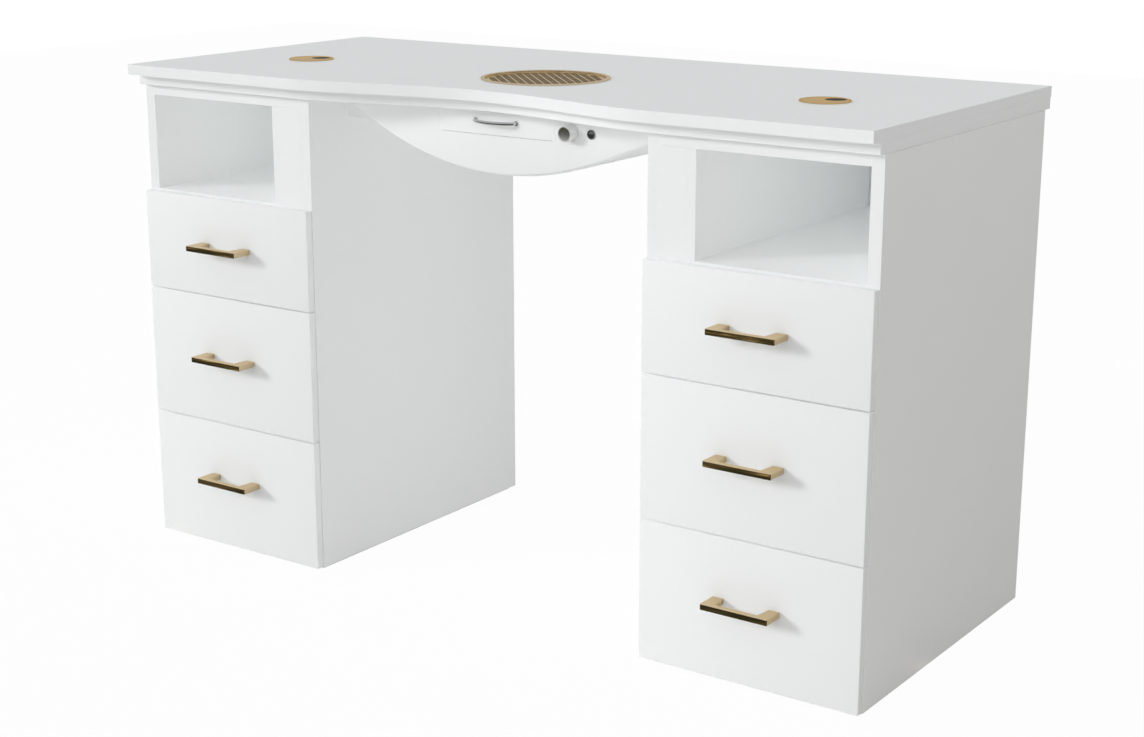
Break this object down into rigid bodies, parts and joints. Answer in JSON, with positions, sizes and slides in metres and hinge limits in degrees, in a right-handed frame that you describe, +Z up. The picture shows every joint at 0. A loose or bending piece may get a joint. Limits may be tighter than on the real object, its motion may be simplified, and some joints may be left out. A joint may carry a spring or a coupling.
{
  "type": "manicure table",
  "caption": "Manicure table with two drawer pedestals, open niches above the drawers, a worktop with a hollowed front edge and a dust collector with a grille below it.",
  "frame": {"origin": "on the floor, under the middle of the overall box", "axes": "+X along the table's width to the right as seen from the front, -Y out of the drawer fronts, +Z up"},
  "size_m": [1.27, 0.563, 0.765],
  "materials": {
    "white_board": "white satin lacquered board",
    "carcass_board": "white melamine board",
    "gold": "satin champagne gold, polished front edges",
    "chrome": "polished",
    "shell": "moulded white, semi-gloss",
    "rubber": "matt black",
    "glide": "moulded, matt",
    "inlet": "moulded, matt black",
    "filter": "pleated filter paper",
    "fan": "moulded, matt black"
  },
  "bodies": {
    "root": {"worktop": "white_board", "under_top": "white_board", "pedestal_left_inner_side": "white_board", "pedestal_left_outer_side": "white_board", "pedestal_left_back": "carcass_board", "pedestal_left_bottom": "carcass_board", "pedestal_left_niche_floor": "white_board", "pedestal_left_top": "white_board", "pedestal_left_niche_wall": "white_board", "pedestal_left_niche_stile": "white_board", "pedestal_left_glide_inner": "glide", "pedestal_left_glide_outer": "glide", "grommet_left_ring": "gold", "pedestal_right_inner_side": "white_board", "pedestal_right_outer_side": "white_board", "pedestal_right_back": "carcass_board", "pedestal_right_bottom": "carcass_board", "pedestal_right_niche_floor": "white_board", "pedestal_right_top": "white_board", "pedestal_right_niche_wall": "white_board", "pedestal_right_niche_stile": "white_board", "pedestal_right_glide_inner": "glide", "pedestal_right_glide_outer": "glide", "grommet_right_ring": "gold", "grille_ring": "gold", "collector_housing": "shell", "fan_frame": "fan", "power_inlet": "inlet", "front_rail_left": "white_board", "front_rail_right": "white_board", "rear_rail": "white_board"},
    "drawer_left_bottom": {"drawer_left_bottom_front": "white_board", "drawer_left_bottom_box": "carcass_board", "drawer_left_bottom_handle": "gold"},
    "drawer_left_middle": {"drawer_left_middle_front": "white_board", "drawer_left_middle_box": "carcass_board", "drawer_left_middle_handle": "gold"},
    "drawer_left_top": {"drawer_left_top_front": "white_board", "drawer_left_top_box": "carcass_board", "drawer_left_top_handle": "gold"},
    "grommet_left_cap": {"grommet_left_cap": "gold", "grommet_left_seal": "rubber"},
    "drawer_right_bottom": {"drawer_right_bottom_front": "white_board", "drawer_right_bottom_box": "carcass_board", "drawer_right_bottom_handle": "gold"},
    "drawer_right_middle": {"drawer_right_middle_front": "white_board", "drawer_right_middle_box": "carcass_board", "drawer_right_middle_handle": "gold"},
    "drawer_right_top": {"drawer_right_top_front": "white_board", "drawer_right_top_box": "carcass_board", "drawer_right_top_handle": "gold"},
    "grommet_right_cap": {"grommet_right_cap": "gold", "grommet_right_seal": "rubber"},
    "grille_plate": {"grille_plate": "gold"},
    "filter_tray": {"filter_tray": "shell", "filter_cartridge": "filter", "tray_handle": "chrome"},
    "fan_rotor": {"fan_rotor": "fan"},
    "speed_knob": {"speed_knob": "chrome"},
    "power_button": {"power_button": "chrome"}
  },
  "joints": [
    {"name": "drawer_left_bottom_slide", "type": "slide", "parent": "root", "child": "drawer_left_bottom", "axis": [0, -1, 0], "range_m": [0, 0.34]},
    {"name": "drawer_left_middle_slide", "type": "slide", "parent": "root", "child": "drawer_left_middle", "axis": [0, -1, 0], "range_m": [0, 0.34]},
    {"name": "drawer_left_top_slide", "type": "slide", "parent": "root", "child": "drawer_left_top", "axis": [0, -1, 0], "range_m": [0, 0.34]},
    {"name": "grommet_left_turn", "type": "hinge", "parent": "root", "child": "grommet_left_cap", "pos_m": [-0.4545, -0.0505, 0.764], "axis": [0, 0, 1], "continuous": true},
    {"name": "drawer_right_bottom_slide", "type": "slide", "parent": "root", "child": "drawer_right_bottom", "axis": [0, -1, 0], "range_m": [0, 0.34]},
    {"name": "drawer_right_middle_slide", "type": "slide", "parent": "root", "child": "drawer_right_middle", "axis": [0, -1, 0], "range_m": [0, 0.34]},
    {"name": "drawer_right_top_slide", "type": "slide", "parent": "root", "child": "drawer_right_top", "axis": [0, -1, 0], "range_m": [0, 0.34]},
    {"name": "grommet_right_turn", "type": "hinge", "parent": "root", "child": "grommet_right_cap", "pos_m": [0.4545, -0.0505, 0.764], "axis": [0, 0, 1], "continuous": true},
    {"name": "grille_lift", "type": "slide", "parent": "root", "child": "grille_plate", "axis": [0, 0, 1], "range_m": [0, 0.06]},
    {"name": "filter_tray_slide", "type": "slide", "parent": "root", "child": "filter_tray", "axis": [0, -1, 0], "range_m": [0, 0.17]},
    {"name": "fan_spin", "type": "hinge", "parent": "root", "child": "fan_rotor", "pos_m": [0, -0.0505, 0.668], "axis": [0, 0, 1], "continuous": true},
    {"name": "speed_knob_turn", "type": "hinge", "parent": "root", "child": "speed_knob", "pos_m": [0.128, -0.16986, 0.708], "axis": [0, -0.9999, -0.0161], "range_deg": [-270, 0]},
    {"name": "power_button_press", "type": "slide", "parent": "root", "child": "power_button", "axis": [0, 0.9999, 0.0161], "range_m": [0, 0.002], "stiffness_N_per_m": 600}
  ]
}
